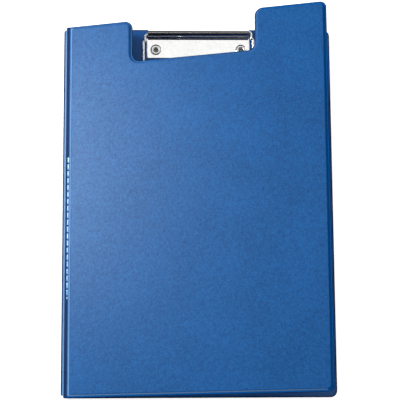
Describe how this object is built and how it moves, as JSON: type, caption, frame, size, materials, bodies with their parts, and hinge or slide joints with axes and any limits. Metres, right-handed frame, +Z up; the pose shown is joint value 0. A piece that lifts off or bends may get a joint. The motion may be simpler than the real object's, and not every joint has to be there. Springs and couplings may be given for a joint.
{
  "type": "clipboard folder",
  "caption": "Foil-covered clipboard folder with hinged spine, notched front cover and riveted sprung wire clip at the top of the back board.",
  "frame": {"origin": "middle of the underside of the closed folder's bounding box", "axes": "+X from the spine to the free edge, +Y up the page towards the clip, +Z up out of the back board"},
  "size_m": [0.231, 0.32, 0.0799],
  "materials": {
    "greyboard": "matte",
    "outer_foil": "leather-grained, satin",
    "inner_foil": "fine-grained, satin",
    "pocket_foil": "smooth, satin",
    "plate_chrome": "polished",
    "wire_chrome": "polished",
    "rivet_chrome": "polished"
  },
  "bodies": {
    "back": {"back_board": "greyboard", "back_outer_foil": "outer_foil", "back_inner_foil": "inner_foil", "clip_plate": "plate_chrome", "hollow_rivets": "rivet_chrome"},
    "spine": {"spine_board": "greyboard", "spine_outer_foil": "outer_foil", "spine_inner_foil": "inner_foil"},
    "cover": {"cover_board": "greyboard", "cover_outer_foil": "outer_foil", "cover_inner_foil": "inner_foil", "cover_pocket": "pocket_foil"},
    "bow": {"wire_bow": "wire_chrome"}
  },
  "joints": [
    {"name": "spine_crease", "type": "hinge", "parent": "back", "child": "spine", "pos_m": [-0.1131, 0, 0.0024], "axis": [0, -1, 0], "range_deg": [0, 180]},
    {"name": "cover_crease", "type": "hinge", "parent": "spine", "child": "cover", "pos_m": [-0.1131, 0, 0.0079], "axis": [0, -1, 0], "range_deg": [-18, 162]},
    {"name": "bow_hinge", "type": "hinge", "parent": "back", "child": "bow", "pos_m": [0.0009, 0.1552, 0.00645], "axis": [-1, 0, 0], "range_deg": [0, 80], "stiffness_Nm_per_rad": 0.05, "springref_deg": -68.75}
  ]
}
